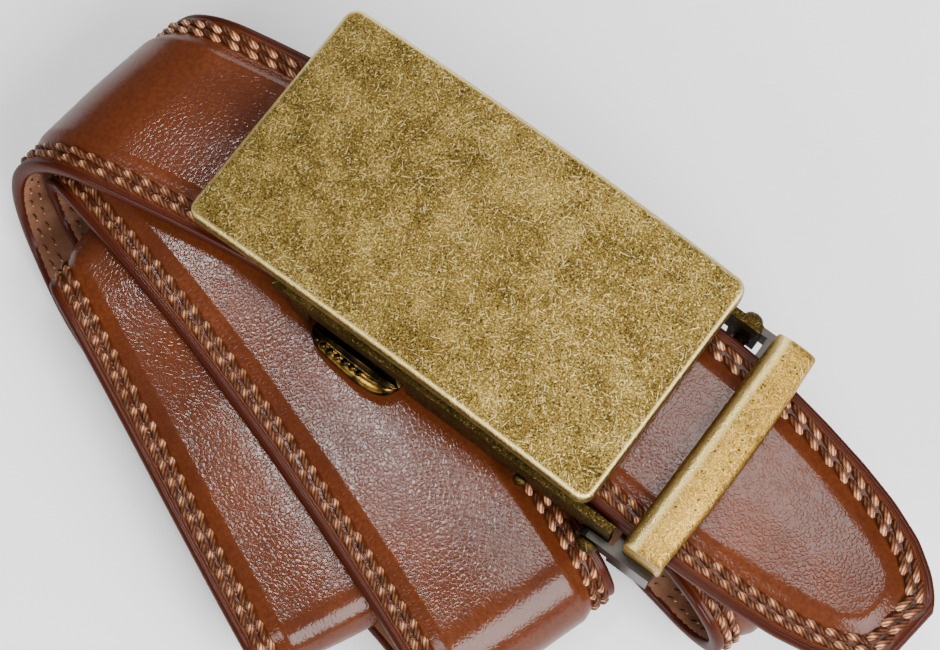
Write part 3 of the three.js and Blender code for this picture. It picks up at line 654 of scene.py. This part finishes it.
# the bar's section: shares of half its width and of its rise, with the bevel on the plate's side first
profile = np.array([
    (-1, 0), (-1, 0.25), (-0.98, 0.42), (-0.9, 0.58), (-0.66, 0.84), (-0.6, 0.89), (-0.5, 0.93),
    (-0.25, 0.98), (0, 1), (0.3, 0.985), (0.6, 0.92), (0.82, 0.8), (0.94, 0.62), (1, 0.4), (1, 0.2), (1, 0)])
length_share = np.concatenate([[-1, -0.997, -0.985, -0.965, -0.935], np.linspace(-0.9, 0.9, 21),
                               [0.935, 0.965, 0.985, 0.997, 1]])[:, None]
from_end = (1 - np.abs(length_share)) * KEEPER_HALF
soft_end = np.sqrt(1 - (1 - np.clip(from_end / 1.3, 0, 1)) ** 2)
crown = (0.78 + 0.22 * np.sqrt(1 - (0.96 * length_share) ** 2)) * (0.72 + 0.28 * soft_end)
bow = np.where(profile[:, 0] > 0, 0.8 * (1 - length_share ** 2) - 0.3, 0.0)
x = KEEPER_X + (0.5 * KEEPER_WIDTH + bow) * profile[:, 0] * (0.94 + 0.06 * soft_end)
z = KEEPER_UNDER + KEEPER_RISE * profile[:, 1] * crown
y = KEEPER_HALF * length_share + 0 * x
bar_points = np.stack([x, y, z], -1)


def block(x0, x1, y0, y1, z0, z1, soft=0.2):
    """Points and quads of a box whose edges and corners are cut by a small chamfer: two loops of
    eight points at the bottom, two at the top."""
    def loop(inset, z):
        cut = soft + inset
        return [(x0 + cut, y0 + inset, z), (x1 - cut, y0 + inset, z), (x1 - inset, y0 + cut, z),
                (x1 - inset, y1 - cut, z), (x1 - cut, y1 - inset, z), (x0 + cut, y1 - inset, z),
                (x0 + inset, y1 - cut, z), (x0 + inset, y0 + cut, z)]
    rings = np.array([loop(soft, z0), loop(0, z0 + soft), loop(0, z1 - soft), loop(soft, z1)])
    return rings.reshape(-1, 3), tube_quads(4, 8)


def joined(name, parts, marks=None):
    """One object from several (points in mm, quads) parts, each turned outwards on its own. The marks
    belong to the first part's points."""
    points, quads, start = [], [], 0
    for part, faces in parts:
        part = np.asarray(part, float).reshape(-1, 3)
        points.append(part)
        quads.append(facing_out(part, faces) + start)
        start += len(part)
    padded = {key: np.pad(np.ravel(values), (0, start - np.size(values)))
              for key, values in (marks or {}).items()}
    return surface(name, (np.vstack(points) + TO_FRAME) * MM, np.vstack(quads), marks=padded)


legs = [block(KEEPER_X - 3.4, KEEPER_X + 3.4, y0, y0 + 1.5, 24.6, 31.0) for y0 in (-20.25, 18.75)]
# a painted highlight along the ridge, and painted shade on the bevel on the plate's side
ridge = np.where(np.abs(profile[:, 0] + 0.6) < 0.12, 1.0, 0.0) * (profile[:, 1] > 0.8)
bevel = np.where(profile[:, 0] < -0.62, 0.5, 0.0)
keeper = joined("keeper_bar", [(bar_points, tube_quads(*bar_points.shape[:2])), *legs],
                marks={"wear_and_painted_light": ridge + 0 * length_share, "painted_shade": bevel + 0 * length_share})
worn_brass = antique_brass("brass plating, rubbed bright", 0x5E4A22, 0xAC8636, 0xD8B058, 0xF6DC94,
                           0.32, 0.5)
keeper.data.materials.append(worn_brass)
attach(keeper, "belt")
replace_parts(keeper, "keeper")


# Frame, clamp and track
# The pressed frame under the plate and the clamp box are the working parts. They are only dull plated or
# bare satin metal, and the track under the tail is a moulded plastic strip. The frame's brass is coloured
# far darker than the plate's, as painted shade for the shadow under the plate.
# painted shade: the frame's brass gets much darker colours than the plate's
dull_brass_painted_shade = antique_brass("brass plating, dull, painted dark for shade", 0x1E170A, 0x3A2E12, 0x5C4A26, 0x9A824A, 0.4, 0.6)
# Steel, tumbled: soft grey with a broad, blurred reflection.
satin_steel, tree, shader = new_material("steel, tumbled satin", Metallic=1.0, Roughness=0.42,
                                         Base_Color=colour(0x45413D))
# Polyurethane, injection moulded: black with a faint gleam.
moulded, tree, shader = new_material("polyurethane, moulded", Roughness=0.45, Base_Color=colour(0x19191B))
for name, stuff, slot_name in (
        ("buckle_frame", dull_brass_painted_shade, "buckle_frame"), ("clamp_jaw", satin_steel, "clamp_jaw"),
        ("ratchet_track", moulded, "ratchet_track")):
    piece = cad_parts[name]
    piece.data.materials.clear()
    piece.data.materials.append(stuff)


# Rivets
# Two rivets go through the frame: one holds the clamp's ears, the other is what the release lever turns on.
# Their domed heads have the same dull plating as the frame, painted just as dark for the shade under the
# plate.
def rivet(name, x, z, reach, shank, head):
    """A turned pin along Y: each point of its profile, radius r at that place, is carried round the
    axis as (x + r cos a, place, z + r sin a)."""
    arc = np.linspace(0, math.pi / 2, 6)
    dome_r, dome_y = head * np.sin(arc), 0.75 * head * np.cos(arc)
    r = np.concatenate([dome_r, [head, shank, shank, head], dome_r[::-1]])
    under_head = reach + 0.25
    place = np.concatenate([-under_head - dome_y, [-reach, -reach, reach, reach], under_head + dome_y[::-1]])
    a = np.linspace(0, 2 * math.pi, 24, endpoint=False)
    r = np.maximum(r, 0.01)[:, None]
    points = np.stack([x + r * np.cos(a), place[:, None] + 0 * a, z + r * np.sin(a)], -1)
    made = joined(name, [(points, tube_quads(*points.shape[:2]))])
    made.data.materials.append(dull_brass_painted_shade)
    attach(made, "belt")
    return made


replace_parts(rivet("hinge_rivet", 41.0, 22.0, 21.8, 1.2, 1.75), "hinge_pin")
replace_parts(rivet("lever_rivet", 27.0, 23.6, 20.3, 0.8, 1.2), "lever_pin")


# Release lever
# A pressed bronze-black lever lies in the frame's floor. Its finger tab stands out under the long
# side of the plate like a leaf, with a row of small beads along a shallow groove for grip.
TAB = (-13.2, 3.6)
TAB_Y = -20.4
TAB_OUT = 3.1
TAB_LOW = 23.0
LEVER_TOP = 24.2
share = np.linspace(0, 1, 25)[:, None]
swell = np.sqrt(np.clip(1 - (2 * share - 1) ** 4, 0, 1)) * (0.93 + 0.1 * np.sin(math.pi * share))
out = TAB_OUT * swell * (1 - 0.12 * np.cos(math.pi * share))
# the leaf's section: share of how far it stands out, and height in mm, up over the lip and into the groove
section = np.array([
    (0, 0), (0.55, 0.2), (0.86, 0.45), (1, 0.8), (0.99, 1.3), (0.9, 1.75), (0.72, 2.15), (0.55, 2.3),
    (0.45, 2.2), (0.33, 2.2), (0.22, 2.4), (0, 2.5)])
tab_x = TAB[0] + (TAB[1] - TAB[0]) * share + 0 * section[:, 0]
tab_y = TAB_Y - out * section[:, 0]
tab_z = TAB_LOW + section[:, 1] * (0.55 + 0.45 * swell) * 1.2
tab_points = np.stack([tab_x, tab_y, tab_z], -1)
BEAD = 0.6
beads = []
lat = np.linspace(0, math.pi, 7)[:, None]
lon = np.linspace(0, 2 * math.pi, 10, endpoint=False)
for along in 0.12 + 0.085 * np.arange(7):
    bead_x = TAB[0] + (TAB[1] - TAB[0]) * along
    bead_y = TAB_Y - 0.62 * TAB_OUT * math.sqrt(1 - (2 * along - 1) ** 4)
    ball = np.stack([bead_x + BEAD * np.sin(lat) * np.cos(lon), bead_y + BEAD * np.sin(lat) * np.sin(lon),
                     TAB_LOW + 2.5 + 0.8 * BEAD * np.cos(lat) + 0 * lon], -1)
    beads.append((ball, tube_quads(*ball.shape[:2])))
# fingers rub the middle of the leaf's upper side
upper_side = (section[:, 0] > 0.4) & (section[:, 0] < 0.95) & (section[:, 1] > 1.5)
lever = joined("release_lever_tab", [
    (tab_points, tube_quads(*tab_points.shape[:2])),
    block(TAB[0], 24.6, -6.8, 6.8, TAB_LOW, LEVER_TOP),
    block(*TAB, -20.6, -6.0, TAB_LOW + 0.02, LEVER_TOP - 0.02),
    block(24.0, 27.0, -6.8, -4.8, TAB_LOW, LEVER_TOP),
    block(24.0, 27.0, 4.8, 6.8, TAB_LOW, LEVER_TOP), *beads],
    marks={"wear_and_painted_light": 1.0 * (upper_side & (share > 0.05))})
# Bronze, blackened and burnished: almost black, with golden-brown showing where fingers rub.
bronze, tree, shader = new_material("bronze, blackened and burnished", Metallic=1.0, Roughness=0.3)
solid = add(tree, "ShaderNodeTexCoord", {}, "Object")
rubbed = add(tree, "ShaderNodeTexNoise", {"Vector": solid, "Scale": 420.0, "Detail": 4.0})
tone = add(tree, "ShaderNodeValToRGB", {0: rubbed},
           stops=[(0.4, 0x1A140C), (0.6, 0x3A2C18), (0.8, 0x6E5630)])
wear_and_painted_light = add(tree, "ShaderNodeAttribute", {}, "Fac", attribute_name="wear_and_painted_light")
gilded = add(tree, "ShaderNodeMapRange", {0: rubbed, 1: 0.48, 2: 0.64})
gilded = add(tree, "ShaderNodeMath", {0: gilded, 1: wear_and_painted_light}, operation="MULTIPLY")
tone = add(tree, "ShaderNodeMix", {0: gilded, 6: tone, 7: colour(0x94722E)}, 2, data_type="RGBA")
tree.links.new(tone, shader.inputs["Base Color"])
lever.data.materials.append(bronze)
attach(lever, "lever")
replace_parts(lever, "release_lever")


# Floor, light and camera
# A white table in a dim light tent. Three large soft boxes, at the front, the left and the back,
# light the belt, and two small ones over it put the gloss on the leather.
floor_mesh = bpy.data.meshes.new("table")
floor_half = 3.0
floor_mesh.from_pydata([(-floor_half, -floor_half, 0), (floor_half, -floor_half, 0),
                        (floor_half, floor_half, 0), (-floor_half, floor_half, 0)], [], [(0, 1, 2, 3)])
table_top = bpy.data.objects.new("table", floor_mesh)
bpy.context.scene.collection.objects.link(table_top)
white, tree, shader = new_material("painted board, matt white", Roughness=0.9, Base_Color=colour(0xFAFAFA))
floor_mesh.materials.append(white)

world = bpy.data.worlds.new("light tent")
bpy.context.scene.world = world
world.use_nodes = True
world.node_tree.nodes["Background"].inputs[0].default_value = colour(0xFFFFFF)
world.node_tree.nodes["Background"].inputs[1].default_value = 0.15

# the camera looks down steeply at the buckle from the front right, as in the photograph
LOOK_AT = Vector((7.8 + TO_FRAME[0], -7.65 + TO_FRAME[1], 33.8)) * MM
AZIMUTH = math.radians(36.94)
ELEVATION = math.radians(75.2)
DISTANCE = 0.36
back = Vector((math.sin(AZIMUTH) * math.cos(ELEVATION), -math.cos(AZIMUTH) * math.cos(ELEVATION),
               math.sin(ELEVATION)))
right = Vector((math.cos(AZIMUTH), math.sin(AZIMUTH), 0))


def soft_box(name, towards, wide, power):
    """A square area lamp of that width in metres, aimed at the belt from that direction."""
    lamp = bpy.data.lights.new(name, "AREA")
    lamp.shape = "SQUARE"
    lamp.size = wide
    lamp.energy = power
    obj = bpy.data.objects.new(name, lamp)
    obj.location = LOOK_AT + towards
    obj.rotation_mode = "QUATERNION"
    obj.rotation_quaternion = (-towards).to_track_quat("-Z", "Y")
    bpy.context.scene.collection.objects.link(obj)


outwards = Vector((back.x, back.y, 0)).normalized()
# the first two boxes stand where the tail and the lowest fanned pass mirror them into the view
soft_box("tail soft box", (-0.19 * outwards + 0.2 * right + Vector((0, 0, 1))) * 0.7, 0.2, 1.7)
soft_box("fan soft box", (-0.2 * outwards - 0.105 * right + Vector((0, 0, 1))) * 0.75, 0.08, 1.35)
soft_box("left soft box", (0.75 * outwards - 0.65 * right + Vector((0, 0, 0.7))) * 0.7, 0.3, 4.0)
soft_box("back soft box", (-0.95 * outwards + 0.2 * right + Vector((0, 0, 0.7))) * 0.7, 0.4, 3.0)
soft_box("front soft box", (0.9 * outwards + 0.7 * right + Vector((0, 0, 0.9))) * 0.6, 0.6, 18.0)

camera = bpy.data.cameras.new("camera")
camera.lens = 91.0
camera.sensor_width = 36.0
camera.clip_start = 0.02
view = bpy.data.objects.new("camera", camera)
view.location = LOOK_AT + back * DISTANCE
view.rotation_mode = "QUATERNION"
view.rotation_quaternion = (-back).to_track_quat("-Z", "Y")
bpy.context.scene.collection.objects.link(view)
bpy.context.scene.camera = view
